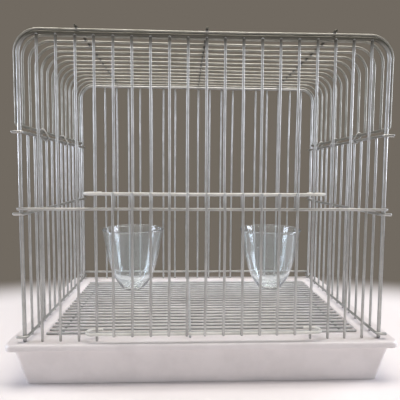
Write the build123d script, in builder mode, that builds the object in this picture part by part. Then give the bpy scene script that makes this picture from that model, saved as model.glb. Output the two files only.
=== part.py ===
"""Bird show cage: a wire cage of five clipped panels with a lift-up front door,
standing on the flange of a moulded tray, with a loose floor grille and two clear cups.

Millimetres, +Z up, front facing -Y, origin on the table under the middle of the tray.
Heights called *_H are measured up from the flange that the wires stand on.
"""
import os
from math import atan2, cos, degrees, radians, sin, tan

from build123d import *

os.makedirs("parts", exist_ok=True)

# Wire grid
PITCH = 15.0
FRONT_GAPS = 20
DEPTH_GAPS = 13
WIDTH = PITCH * FRONT_GAPS
DEPTH = PITCH * DEPTH_GAPS
HALF_W = WIDTH / 2
FRONT_Y = -DEPTH / 2
BACK_Y = DEPTH / 2

# Wire sizes
FRAME_R = 1.6
RAIL_R = 1.25
WIRE_R = 1.1
GRILLE_R = 1.0
SIDES = 8
BEND_CHORDS = 4
WELD = 0.15
SNUG = 0.05

# Tray
FLANGE_Z = 36.0
TRAY_W = WIDTH + 29.0
TRAY_D = DEPTH + 18.0
TRAY_CORNER = 6.5
SKIRT_W = TRAY_W - 12.6
SKIRT_D = TRAY_D - 7.4
SKIRT_CORNER = 4.5
SIDE_DRAFT = 14.5
FRONT_DRAFT = 6.5
WALL = 2.0
FLANGE_THICK = 3.8
LIP_DROP = 5.4
RIM_BEVEL = 2.0
REBATE_W = WIDTH - 22.0
REBATE_D = DEPTH - 22.0
REBATE_CORNER = 8.0
LEDGE = 5.0
BASIN_CORNER = 12.0
BASIN_TAPER = 7.0
FLOOR_TOP = 4.0
SEAT = 0.05

# Heights above the flange
FRAME_TOP_H = 250.7
HEADER_H = 110.8
SIDE_TOP_H = 172.4
SIDE_MID_H = 106.8
SIDE_LOW_H = 4.6
BACK_MID_H = 111.0
BACK_LOW_H = 8.7
ROOF_EDGE_H = 177.9
DOOR_TOP_H = 123.4
DOOR_LOW_H = 7.3

# Bends
FRAME_BEND = 16.0
HOOP_GAP = FRAME_R + WIRE_R - SNUG
HOOP_X = HALF_W + HOOP_GAP
HOOP_TOP_H = FRAME_TOP_H + HOOP_GAP
HOOP_BEND = FRAME_BEND + HOOP_GAP
HOOP_DROP = 1.0
TAIL_BEND = 2.4
TAIL_END = 8.0
HOOK_R = FRAME_R + RAIL_R - SNUG
HOOK_TIP = 5.6
BAR_OVERLAP = 2.2

# Door
GUIDE_INDEX = 4
GUIDE_X = HALF_W - GUIDE_INDEX * PITCH
LOOP_R = 5.3
LOOP_SHIFT = 3.5
LOOP_TAIL = 7.5
LOOP_BEND = LOOP_R - 0.3

# Roof and belt
RIDGE_XS = (-104.0, 0.0, 104.0)
RIDGE_OVERHANG = 4.5
RING_WIRE = 1.8
RING_HALF = 1.1
RING_GAPS = (3.5, 7.5, 10.5)
EDGE_CLEAR = 2.4

# Grille
GRILLE_PITCH = 8.0
GRILLE_COUNT = 21
GRILLE_HALF = 138.0
GRILLE_Z = FLANGE_Z - 0.7
GRILLE_LEDGE_Z = GRILLE_Z - GRILLE_R - SEAT
CENTRE_WIRE_X = -12.0
CENTRE_WIRE_HALF = DEPTH / 2 - 3.0
SIDE_WIRE_X = 126.0
SIDE_WIRE_HALF = 76.0

# Cups, with the bowl as (radius, depth below the rim)
CUP_XS = (-79.7, 88.2)
CUP_Y = FRONT_Y + 154.0
CUP_H = 73.0
CUP_RIM_R = 36.8
CUP_BOWL = ((30.2, 37.0), (24.0, 57.5))
CUP_BASE_R = 14.0
CUP_SIDES = 40
CUP_WALL = 2.0
CUP_FLOOR = 3.0
CUP_LIP = 3.0
CUP_LIP_OUT = 1.0
CUP_Z = GRILLE_Z + GRILLE_R + SEAT


def level(height):
    """Height above the table for a height above the flange."""
    return FLANGE_Z + height


def bar_section(radius):
    """Eight-sided wire section with flats on its axes."""
    return RegularPolygon(radius, SIDES, major_radius=False, rotation=180 / SIDES)


def bent_path(corners, bends):
    """Points of a wire path whose square corners are bent round in short chords."""
    spots = [Vector(*corner) for corner in corners]
    points = [spots[0]]
    for before, spot, after, bend in zip(spots, spots[1:], spots[2:], bends):
        back = (before - spot).normalized() * bend
        onward = (after - spot).normalized() * bend
        for step in range(BEND_CHORDS + 1):
            angle = radians(90 * step / BEND_CHORDS)
            points.append(spot + back * (1 - sin(angle)) + onward * (1 - cos(angle)))
    points.append(spots[-1])
    return points


def bent_wire(corners, bends, radius, x_dir=(0, 0, 1)):
    """One length of wire bent round the corners of a path."""
    with BuildPart() as wire:
        with BuildLine() as path:
            Polyline(*bent_path(corners, bends))
        line = path.wires()[0]
        with BuildSketch(Plane(origin=line @ 0, x_dir=x_dir, z_dir=line % 0)):
            bar_section(radius)
        sweep(path=line, transition=Transition.RIGHT)
    return wire


def finish(builder, name):
    """Label a finished piece and write its file."""
    builder.part.label = name
    export_step(builder.part, f"parts/{name}.step")


def uprights(points, low, high):
    """Standing wires at (x, y) points between two heights above the flange."""
    with BuildPart() as wires:
        with BuildSketch(Plane.XY.offset(level(low))):
            with Locations(*points):
                bar_section(WIRE_R)
        extrude(amount=high - low)
    return wires


def cross_bar(y, height):
    """Straight rail along X across both posts of a panel."""
    with BuildPart() as bar:
        with BuildSketch(Plane.YZ):
            with Locations((y, level(height))):
                bar_section(RAIL_R)
        extrude(amount=HALF_W + BAR_OVERLAP, both=True)
    return bar


def long_bars(points, half, radius):
    """Straight wires along Y at (x, z) points."""
    with BuildPart() as bars:
        with BuildSketch(Plane.XZ):
            with Locations(*points):
                bar_section(radius)
        extrude(amount=half, both=True)
    return bars


def hooked_rail(side, height):
    """Side panel rail whose ends hook round the outer faces of both posts."""
    rail_x = side * (HALF_W - HOOK_R)
    tip_x = side * (HALF_W + HOOK_TIP)
    corners = [
        (tip_x, FRONT_Y - HOOK_R, level(height)),
        (rail_x, FRONT_Y - HOOK_R, level(height)),
        (rail_x, BACK_Y + HOOK_R, level(height)),
        (tip_x, BACK_Y + HOOK_R, level(height)),
    ]
    return bent_wire(corners, [HOOK_R] * 2, RAIL_R)


def arch(y, half, low, top, bend, radius):
    """Upright wire arch across the cage: two legs and a level top."""
    corners = [(-half, y, low), (-half, y, top), (half, y, top), (half, y, low)]
    return bent_wire(corners, [bend] * 2, radius, x_dir=(1, 0, 0))


def end_hoop(y, inward):
    """Roof hoop over a panel frame, its ends bent along the roof edge rails."""
    low = level(ROOF_EDGE_H)
    top = level(HOOP_TOP_H)
    tail_y = y + inward * TAIL_END
    corners = [
        (-HOOP_X, tail_y, low),
        (-HOOP_X, y, low),
        (-HOOP_X, y, top),
        (HOOP_X, y, top),
        (HOOP_X, y, low),
        (HOOP_X, tail_y, low),
    ]
    return bent_wire(corners, [TAIL_BEND, HOOP_BEND, HOOP_BEND, TAIL_BEND], WIRE_R)


def door_rail(height):
    """Door rail whose ends loop loosely round the two guide wires."""
    turn_x = GUIDE_X + LOOP_SHIFT + LOOP_R
    tail_x = GUIDE_X + LOOP_SHIFT - LOOP_TAIL
    front = FRONT_Y - LOOP_R
    rear = FRONT_Y + LOOP_R
    outline = [(-tail_x, rear), (-turn_x, rear), (-turn_x, front)]
    outline += [(-x, y) for x, y in reversed(outline)]
    corners = [(x, y, level(height)) for x, y in outline]
    return bent_wire(corners, [LOOP_BEND] * 4, RAIL_R)


def belt_rings(side):
    """Oval rings that clip a side panel's top rail to the roof edge rail."""
    edge_x = HOOP_X - WIRE_R - RAIL_R + WELD
    rail_x = HALF_W - HOOK_R
    centres = [(side * edge_x, level(ROOF_EDGE_H)), (side * rail_x, level(SIDE_TOP_H))]
    bore = RAIL_R - SNUG
    with BuildPart() as rings:
        for radius, mode in ((bore + RING_WIRE, Mode.ADD), (bore, Mode.SUBTRACT)):
            for gap in RING_GAPS:
                with BuildSketch(Plane.XZ.offset(-FRONT_Y - gap * PITCH)):
                    with Locations(*centres):
                        bar_section(radius)
                    make_hull()
                extrude(amount=RING_HALF, both=True, mode=mode)
    return rings


def drafted_block(width, depth, top, corner):
    """Block standing on the table whose four sides lean in towards its foot."""
    with BuildPart() as block:
        for plane, half, draft, mode in (
            (Plane.XZ, width / 2, SIDE_DRAFT, Mode.ADD),
            (Plane.YZ, depth / 2, FRONT_DRAFT, Mode.INTERSECT),
        ):
            foot = half - top * tan(radians(draft))
            with BuildSketch(plane):
                with BuildLine():
                    Polyline((-half, top), (half, top), (foot, 0), (-foot, 0), close=True)
                make_face()
            extrude(amount=width, both=True, mode=mode)
        standing = block.edges().filter_by(lambda edge: edge.bounding_box().size.Z > top / 2)
        fillet(standing, radius=corner)
    return block


def tapered_block(rows):
    """Many-sided round block upside down on its rim, through rows of (radius, depth)."""
    with BuildPart() as block:
        for (wide, high), (narrow, low) in zip(rows, rows[1:]):
            with BuildSketch(Plane.XY.offset(high)):
                RegularPolygon(wide, CUP_SIDES, major_radius=False)
            extrude(amount=low - high, taper=degrees(atan2(wide - narrow, low - high)))
    return block


def cup(x):
    """Clear seed or water cup standing on the grille."""
    under_lip = CUP_RIM_R - CUP_LIP_OUT
    outer = [
        (CUP_RIM_R, 0),
        (CUP_RIM_R, CUP_LIP - CUP_LIP_OUT),
        (under_lip, CUP_LIP),
        *CUP_BOWL,
        (CUP_BASE_R, CUP_H),
    ]
    inner = [
        (under_lip - CUP_WALL, 0),
        *[(radius - CUP_WALL, depth) for radius, depth in CUP_BOWL],
        (CUP_BASE_R - CUP_FLOOR, CUP_H - CUP_FLOOR),
    ]
    with BuildPart() as body:
        with Locations(Location((x, CUP_Y, CUP_Z + CUP_H), (180, 0, 0))):
            add(tapered_block(outer).part)
            add(tapered_block(inner).part, mode=Mode.SUBTRACT)
    return body


# Tray: one moulded skin from the basin floor over the flange and down the outer skirt
skirt_top = FLANGE_Z - FLANGE_THICK
basin_w = REBATE_W - 2 * LEDGE
basin_d = REBATE_D - 2 * LEDGE
with BuildPart() as under_tray:
    add(drafted_block(SKIRT_W - 2 * WALL, SKIRT_D - 2 * WALL, skirt_top, SKIRT_CORNER - WALL).part)
    with BuildSketch(Plane.XY.offset(skirt_top)):
        RectangleRounded(basin_w + 2 * WALL, basin_d + 2 * WALL, BASIN_CORNER + WALL)
    extrude(amount=FLOOR_TOP - WALL - skirt_top, taper=BASIN_TAPER, mode=Mode.SUBTRACT)
with BuildPart() as tray:
    add(drafted_block(SKIRT_W, SKIRT_D, skirt_top, SKIRT_CORNER).part)
    with BuildSketch(Plane.XY.offset(FLANGE_Z - LIP_DROP)):
        RectangleRounded(TRAY_W, TRAY_D, TRAY_CORNER)
    extrude(amount=LIP_DROP)
    rim = tray.faces().sort_by(Axis.Z)[-1].edges()
    chamfer(rim, length=RIM_BEVEL)
    add(under_tray.part, mode=Mode.SUBTRACT)
    with BuildSketch(Plane.XY.offset(GRILLE_LEDGE_Z)):
        RectangleRounded(REBATE_W, REBATE_D, REBATE_CORNER)
    extrude(amount=FLANGE_Z, mode=Mode.SUBTRACT)
    with BuildSketch(Plane.XY.offset(GRILLE_LEDGE_Z)):
        RectangleRounded(basin_w, basin_d, BASIN_CORNER)
    extrude(amount=FLOOR_TOP - GRILLE_LEDGE_Z, taper=BASIN_TAPER, mode=Mode.SUBTRACT)
finish(tray, "tray")

# Floor grille
with BuildPart() as grille_cross_wires:
    with BuildSketch(Plane.YZ):
        with Locations((0, GRILLE_Z)):
            with GridLocations(GRILLE_PITCH, 0, GRILLE_COUNT, 1):
                bar_section(GRILLE_R)
    extrude(amount=GRILLE_HALF, both=True)
finish(grille_cross_wires, "grille_cross_wires")

lift = 2 * GRILLE_R - WELD
centre_point = [(CENTRE_WIRE_X, GRILLE_Z + lift)]
grille_centre_wire = long_bars(centre_point, CENTRE_WIRE_HALF, GRILLE_R)
finish(grille_centre_wire, "grille_centre_wire")

side_points = [(side * SIDE_WIRE_X, GRILLE_Z - lift) for side in (-1, 1)]
grille_side_wires = long_bars(side_points, SIDE_WIRE_HALF, GRILLE_R)
finish(grille_side_wires, "grille_side_wires")

# Cups
for x, name in zip(CUP_XS, ("left_cup", "right_cup")):
    finish(cup(x), name)

# Front panel
flush = FRAME_R - WIRE_R
wire_y = FRONT_Y - flush
wire_top = FRAME_TOP_H - FRAME_R + 2 * WELD
header_y = FRONT_Y - FRAME_R - RAIL_R + WELD
grid_x = [-HALF_W + PITCH * i for i in range(FRONT_GAPS + 1)]
left_points = [(x, wire_y) for x in grid_x[1:GUIDE_INDEX]]
right_points = [(-x, y) for x, y in left_points]
upper_points = [(x, wire_y) for x in grid_x[GUIDE_INDEX + 1:-GUIDE_INDEX - 1]]
finish(arch(FRONT_Y, HALF_W, level(SEAT), level(FRAME_TOP_H), FRAME_BEND, FRAME_R), "front_frame")
finish(cross_bar(header_y, HEADER_H), "front_header_bar")
finish(uprights(left_points, SEAT, wire_top), "front_uprights_left")
finish(uprights(right_points, SEAT, wire_top), "front_uprights_right")
finish(uprights(upper_points, HEADER_H - RAIL_R, wire_top), "front_uprights_upper")
finish(uprights([(-GUIDE_X, wire_y)], SEAT, wire_top), "left_door_guide")
finish(uprights([(GUIDE_X, wire_y)], SEAT, wire_top), "right_door_guide")

# Door
bar_y = FRONT_Y - LOOP_R - RAIL_R - WIRE_R + WELD
door_points = [(x, bar_y) for x, _ in upper_points]
finish(door_rail(DOOR_TOP_H), "door_top_rail")
finish(door_rail(DOOR_LOW_H), "door_bottom_rail")
finish(uprights(door_points, DOOR_LOW_H - RAIL_R, DOOR_TOP_H + RAIL_R), "door_bars")

# Back panel
back_points = [(x, BACK_Y + flush) for x in grid_x[1:-1]]
finish(arch(BACK_Y, HALF_W, level(SEAT), level(FRAME_TOP_H), FRAME_BEND, FRAME_R), "back_frame")
finish(cross_bar(-header_y, BACK_MID_H), "back_mid_rail")
finish(cross_bar(-header_y, BACK_LOW_H), "back_bottom_rail")
finish(uprights(back_points, SEAT, wire_top), "back_uprights")

# Side panels and the rings that clip them to the roof
depth_y = [FRONT_Y + PITCH * k for k in range(DEPTH_GAPS + 1)]
side_x = HALF_W - HOOK_R + RAIL_R + WIRE_R - WELD
for side, name in ((-1, "left"), (1, "right")):
    points = [(side * side_x, y) for y in depth_y[1:-1]]
    finish(hooked_rail(side, SIDE_TOP_H), f"{name}_top_rail")
    finish(hooked_rail(side, SIDE_MID_H), f"{name}_mid_rail")
    finish(hooked_rail(side, SIDE_LOW_H), f"{name}_bottom_rail")
    finish(uprights(points, SEAT, SIDE_TOP_H + WIRE_R), f"{name}_uprights")
    finish(belt_rings(side), f"{name}_belt_rings")

# Roof
finish(end_hoop(FRONT_Y, 1), "roof_front_hoop")
finish(end_hoop(BACK_Y, -1), "roof_back_hoop")
hoop = arch(0, HOOP_X, level(ROOF_EDGE_H - HOOP_DROP), level(HOOP_TOP_H), HOOP_BEND, WIRE_R)
with BuildPart() as roof_hoops:
    with Locations(*[(0, y, 0) for y in depth_y[1:-1]]):
        add(hoop.part)
finish(roof_hoops, "roof_hoops")

edge_x = HOOP_X - WIRE_R - RAIL_R + WELD
ridge_z = level(HOOP_TOP_H) + 2 * WIRE_R - WELD
for side, name in ((-1, "left"), (1, "right")):
    spot = [(side * edge_x, level(ROOF_EDGE_H))]
    finish(long_bars(spot, DEPTH / 2 - EDGE_CLEAR, RAIL_R), f"{name}_roof_edge_rail")
for x, name in zip(RIDGE_XS, ("left", "centre", "right")):
    ridge = long_bars([(x, ridge_z)], DEPTH / 2 + RIDGE_OVERHANG, WIRE_R)
    finish(ridge, f"{name}_roof_rail")
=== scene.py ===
"""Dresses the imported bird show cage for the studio: round zinc-plated wire work with welds and
snipped ends, a moulded white tray and two clear cups.

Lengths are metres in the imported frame, with sizes written in millimetres times MM.
+Z is up and the door side faces -Y.
"""
from __future__ import annotations

import logging
import math
from dataclasses import dataclass, field, replace
from enum import Enum
from typing import Any, Iterable, Sequence

import bmesh
import bpy
from mathutils import Matrix, Vector

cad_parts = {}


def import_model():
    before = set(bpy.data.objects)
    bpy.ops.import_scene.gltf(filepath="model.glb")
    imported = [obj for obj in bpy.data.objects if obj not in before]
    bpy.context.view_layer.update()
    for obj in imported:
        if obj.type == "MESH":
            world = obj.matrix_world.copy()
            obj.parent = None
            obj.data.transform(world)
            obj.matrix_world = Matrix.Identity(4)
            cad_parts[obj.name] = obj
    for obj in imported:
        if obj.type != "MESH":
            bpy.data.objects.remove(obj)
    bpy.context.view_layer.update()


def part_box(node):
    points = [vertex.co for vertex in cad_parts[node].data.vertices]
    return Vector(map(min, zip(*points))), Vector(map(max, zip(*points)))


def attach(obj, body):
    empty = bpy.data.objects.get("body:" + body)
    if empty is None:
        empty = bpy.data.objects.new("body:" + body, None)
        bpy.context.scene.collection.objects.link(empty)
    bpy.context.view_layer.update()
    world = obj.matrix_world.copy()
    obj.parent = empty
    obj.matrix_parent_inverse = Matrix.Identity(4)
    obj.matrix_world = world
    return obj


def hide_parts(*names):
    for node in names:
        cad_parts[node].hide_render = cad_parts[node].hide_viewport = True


LOG = logging.getLogger("show_cage")
MM = 0.001
# Hand-welded panels are uneven, from wire to wire over SWAY_STEP and along a wire over SWAY_RUN.
# Near its foot a wire neither rises nor sinks, and SWAY_FREE above it does so fully.
SWAY_STEP = 26 * MM
SWAY_RUN = 170 * MM
SWAY_FREE = 60 * MM
# A cutter pinches the ends of a wire: distance from the tip, in radii, and the share of the radius
# that is left there.
SNIPPED_END = ((0.0, 0.6), (0.18, 0.84), (0.5, 1.0))
# Points on the tight bends of hooks and loops, and on the wide bends of frames and hoops.
TIGHT_STEPS = 8
WIDE_STEPS = 14
# Most of a leg that the rounding of one corner may take up.
LEG_SHARE = 0.62
# How strongly large faces keep flat shading, out of 100.
FLAT_WEIGHT = 100
# Smallest and largest weld nugget against the usual one, and the seeds of their sizes and turns.
NUGGET_SIZES = (0.8, 1.1)
SIZE_SEED = 8
TURN_SEED = 3


class Body(Enum):
    """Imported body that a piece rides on."""

    TRAY = "tray"
    CAGE = "cage"
    DOOR = "door"
    GRILLE = "floor_grille"
    LEFT_CUP = "left_cup"
    RIGHT_CUP = "right_cup"


class Axis(Enum):
    """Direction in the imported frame."""

    X = 0
    Y = 1
    Z = 2


class Side(Enum):
    """Left or right half of the cage, as its sign along X."""

    LEFT = -1
    RIGHT = 1

    @property
    def word(self) -> str:
        """Name used at the start of the side's pieces."""
        return self.name.lower()


class Slot(Enum):
    """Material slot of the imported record."""

    WIRE = "galvanised_wire"
    TRAY = "white_plastic"
    CUP = "clear_plastic"


def linear(hex_code: str) -> tuple[float, float, float, float]:
    """Turn an sRGB hex value into a linear colour.

    Args:
        hex_code: Colour such as "#C8CAC6".

    Returns:
        Linear red, green, blue and full alpha.
    """
    channels = [int(hex_code[i:i + 2], 16) / 255 for i in (1, 3, 5)]
    flat = [c / 12.92 if c <= 0.04045 else ((c + 0.055) / 1.055) ** 2.4 for c in channels]
    return (flat[0], flat[1], flat[2], 1.0)


def add_node(
    tree: bpy.types.NodeTree,
    kind: str,
    inputs: dict[str | int, Any] | None = None,
    stops: Sequence[tuple[float, str]] = (),
    **settings: Any,
) -> bpy.types.Node:
    """Add one node with its settings, input values and links.

    Args:
        tree: Shader or geometry tree that gets the node.
        kind: Blender's identifier of the node.
        inputs: Value or source socket for each input, by name or index.
        stops: Place and sRGB hex colour of each stop of a colour ramp, from low to high.
        **settings: Properties of the node itself.

    Returns:
        The new node.
    """
    node = tree.nodes.new(kind)
    for name, value in settings.items():
        setattr(node, name, value)
    for key, value in (inputs or {}).items():
        if isinstance(value, bpy.types.NodeSocket):
            tree.links.new(value, node.inputs[key])
        else:
            node.inputs[key].default_value = value
    for i, (place, colour) in enumerate(stops):
        elements = node.color_ramp.elements
        element = elements[i] if i < len(elements) else elements.new(place)
        element.position = place
        element.color = linear(colour)
    return node


def grain(size: float) -> float:
    """Noise scale whose features are about a given size in metres."""
    return 1.0 / size


@dataclass(frozen=True)
class ZincFinish:
    """Steel wire, drawn and then electro-zinc plated: pale grey with soft streaky highlights.

    The plating is a little cloudy, with duller patches about a centimetre long and fine
    lines along the wire that the drawing die left. A band near the top of the cage can be
    darkened as painted shade, for wires that lie in shade there.

    Attributes:
        name: Name of the material.
        dull: Colour of the dullest plating.
        pale: Colour of most of it.
        bright: Colour of the brightest.
        tone_stops: Cloudiness at which these three colours lie.
        top_shade_colour: Colour of the painted shade.
        top_shade: Share of the plating that the painted shade hides.
        top_shade_span: Heights between which the painted shade sets in.
        patch: Size of a cloudy patch.
        line: Spacing of the die's lines, drawn coarser than real so that they show.
        line_stretch: Pace of the lines along the wire against their pace round it.
        metallic: Share of bare metal.
        roughness: Roughness of the smoothest and of the roughest plating.
        gloss_span: Cloudiness and lines together, from roughest to smoothest.
        relief: Depth of the lines.
        relief_strength: Strength of the lines.
    """

    name: str = "zinc_plated_steel_wire"
    dull: str = "#A9A9A6"
    pale: str = "#B4B4B2"
    bright: str = "#C0C0BE"
    tone_stops: tuple[float, float, float] = (0.32, 0.5, 0.7)
    top_shade_colour: str = "#514F46"
    top_shade: float = 0.0
    top_shade_span: tuple[float, float] = (274 * MM, 285 * MM)
    patch: float = 14 * MM
    line: float = 0.5 * MM
    line_stretch: float = 0.04
    metallic: float = 0.9
    roughness: tuple[float, float] = (0.34, 0.5)
    gloss_span: tuple[float, float] = (0.7, 1.3)
    relief: float = 0.03 * MM
    relief_strength: float = 0.6

    def build(self) -> bpy.types.Material:
        """Build the material.

        Returns:
            The material.
        """
        material = bpy.data.materials.new(self.name)
        material.use_nodes = True
        tree = material.node_tree
        shader = tree.nodes["Principled BSDF"]
        shader.inputs["Metallic"].default_value = self.metallic
        place = add_node(tree, "ShaderNodeTexCoord").outputs["Object"]
        cloud = add_node(
            tree, "ShaderNodeTexNoise",
            {"Vector": place, "Scale": grain(self.patch), "Detail": 3.0, "Roughness": 0.6},
        )
        tone = add_node(
            tree, "ShaderNodeValToRGB", {"Fac": cloud.outputs["Fac"]},
            tuple(zip(self.tone_stops, (self.dull, self.pale, self.bright))),
        )
        height = add_node(tree, "ShaderNodeSeparateXYZ", {"Vector": place})
        # Painted shade: wires are darkened between these heights, where the top bar lies in shade.
        start, full = self.top_shade_span
        top_shaded = add_node(
            tree, "ShaderNodeMapRange",
            {"Value": height.outputs["Z"], "From Min": start, "From Max": full,
             "To Min": 0.0, "To Max": self.top_shade},
        )
        colour = add_node(
            tree, "ShaderNodeMix",
            {"Factor": top_shaded.outputs["Result"], "A": tone.outputs["Color"], "B": linear(self.top_shade_colour)},
            data_type="RGBA",
        )
        tree.links.new(colour.outputs["Result"], shader.inputs["Base Color"])
        drawn = add_node(tree, "ShaderNodeAttribute", attribute_name="drawn")
        along = add_node(
            tree, "ShaderNodeMapping",
            {"Vector": drawn.outputs["Vector"], "Scale": (1.0, 1.0, self.line_stretch)},
        )
        lines = add_node(
            tree, "ShaderNodeTexNoise",
            {"Vector": along.outputs["Vector"], "Scale": grain(self.line), "Detail": 2.0},
        )
        blend = add_node(
            tree, "ShaderNodeMath",
            {0: cloud.outputs["Fac"], 1: lines.outputs["Fac"]}, operation="ADD",
        )
        rough = add_node(
            tree, "ShaderNodeMapRange",
            {"Value": blend.outputs["Value"], "From Min": self.gloss_span[0],
             "From Max": self.gloss_span[1], "To Min": self.roughness[1], "To Max": self.roughness[0]},
        )
        tree.links.new(rough.outputs["Result"], shader.inputs["Roughness"])
        bump = add_node(
            tree, "ShaderNodeBump",
            {"Height": lines.outputs["Fac"], "Distance": self.relief, "Strength": self.relief_strength},
        )
        tree.links.new(bump.outputs["Normal"], shader.inputs["Normal"])
        return material


PLAIN_ZINC = ZincFinish()
# Welding burns the plating, so the nuggets are duller than the wires.
WELD_ZINC = ZincFinish(
    name="zinc_over_spot_weld", dull="#90908E", pale="#9C9C9A", bright="#A8A8A6",
    roughness=(0.4, 0.55),
)
# Scraping the droppings off leaves the grille duller than the rest.
SCRAPED_ZINC = ZincFinish(
    name="scraped_zinc_plated_wire", dull="#A6A7A6", pale="#B0B1B0", bright="#BABBBA",
    metallic=0.5, roughness=(0.55, 0.7),
)
# Painted shade: the top bar of the front panel is darkened where it lies in shade under the front hoop.
TOP_SHADED_ZINC = ZincFinish(name="top_shaded_zinc_plated_wire", top_shade=0.9)
# The roof wires are darker and rougher: partly dust, partly painted shade of the roof seen from below.
DUSTY_SHADED_ZINC = ZincFinish(
    name="dusty_zinc_plated_wire", dull="#93928A", pale="#9E9D96", bright="#AAA9A3",
    roughness=(0.46, 0.62),
)
# The long wires on top of the roof carry the roof's dust and painted shade, and are darkened further as
# painted shade.
SHADED_ROOF_RAIL_ZINC = replace(DUSTY_SHADED_ZINC, name="worn_zinc_plated_wire", top_shade=TOP_SHADED_ZINC.top_shade)
# Painted light: the door's rails are paler and less metallic, standing in for their bright reflections
# of the lamps and the white tray.
LIT_RAIL_ZINC = ZincFinish(
    name="chalky_zinc_plated_wire", dull="#CAC9C4", pale="#D5D4CF", bright="#DFDEDA",
    metallic=0.35, roughness=(0.55, 0.7),
)


@dataclass(frozen=True)
class TrayFinish:
    """High-impact polystyrene, injection moulded: warm white with a low satin sheen.

    Handling leaves faint cloudy scuffs, and dust and painted shade grey the floor of the basin under the
    grille.

    Attributes:
        name: Name of the material.
        clean: Colour of the plastic.
        scuffed: Colour of the scuffs.
        tone_stops: Cloudiness at which scuffed and clean plastic lie.
        dusty: Colour of the dust and painted shade.
        dust: Share of the lowest level surface that dust and painted shade hide.
        dust_and_shade_top: Height above which there is neither.
        scuff: Size of a scuff.
        grit: Grain of the mould, drawn coarser than real so that it shows.
        ior: Index of refraction.
        roughness: Roughness of clean and of scuffed plastic.
        gloss_span: Cloudiness, from roughest to smoothest.
        relief: Depth of the grain.
        relief_strength: Strength of the grain.
    """

    name: str = "moulded_white_polystyrene"
    clean: str = "#DDD7D6"
    scuffed: str = "#D7D1D0"
    tone_stops: tuple[float, float] = (0.38, 0.56)
    dusty: str = "#ADA9A2"
    dust: float = 0.65
    dust_and_shade_top: float = 28 * MM
    scuff: float = 22 * MM
    grit: float = 1.1 * MM
    ior: float = 1.59
    roughness: tuple[float, float] = (0.3, 0.46)
    gloss_span: tuple[float, float] = (0.3, 0.7)
    relief: float = 0.05 * MM
    relief_strength: float = 0.35

    def build(self) -> bpy.types.Material:
        """Build the material.

        Returns:
            The material.
        """
        material = bpy.data.materials.new(self.name)
        material.use_nodes = True
        tree = material.node_tree
        shader = tree.nodes["Principled BSDF"]
        shader.inputs["IOR"].default_value = self.ior
        place = add_node(tree, "ShaderNodeTexCoord").outputs["Object"]
        cloud = add_node(
            tree, "ShaderNodeTexNoise",
            {"Vector": place, "Scale": grain(self.scuff), "Detail": 5.0, "Roughness": 0.55},
        )
        tone = add_node(
            tree, "ShaderNodeValToRGB", {"Fac": cloud.outputs["Fac"]},
            tuple(zip(self.tone_stops, (self.scuffed, self.clean))),
        )
        # Dust and painted shade on the low, upward-facing floor of the basin under the grille.
        height = add_node(tree, "ShaderNodeSeparateXYZ", {"Vector": place})
        low = add_node(
            tree, "ShaderNodeMapRange",
            {"Value": height.outputs["Z"], "From Min": 0.0, "From Max": self.dust_and_shade_top,
             "To Min": self.dust, "To Max": 0.0},
        )
        surface = add_node(tree, "ShaderNodeNewGeometry")
        facing = add_node(tree, "ShaderNodeSeparateXYZ", {"Vector": surface.outputs["Normal"]})
        dust_and_shade_mask = add_node(
            tree, "ShaderNodeMath",
            {0: low.outputs["Result"], 1: facing.outputs["Z"]}, operation="MULTIPLY", use_clamp=True,
        )
        colour = add_node(
            tree, "ShaderNodeMix",
            {"Factor": dust_and_shade_mask.outputs["Value"], "A": tone.outputs["Color"], "B": linear(self.dusty)},
            data_type="RGBA",
        )
        tree.links.new(colour.outputs["Result"], shader.inputs["Base Color"])
        specks = add_node(
            tree, "ShaderNodeTexNoise",
            {"Vector": place, "Scale": grain(self.grit), "Detail": 2.0},
        )
        rough = add_node(
            tree, "ShaderNodeMapRange",
            {"Value": cloud.outputs["Fac"], "From Min": self.gloss_span[0],
             "From Max": self.gloss_span[1], "To Min": self.roughness[1], "To Max": self.roughness[0]},
        )
        tree.links.new(rough.outputs["Result"], shader.inputs["Roughness"])
        bump = add_node(
            tree, "ShaderNodeBump",
            {"Height": specks.outputs["Fac"], "Distance": self.relief, "Strength": self.relief_strength},
        )
        tree.links.new(bump.outputs["Normal"], shader.inputs["Normal"])
        return material


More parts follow.
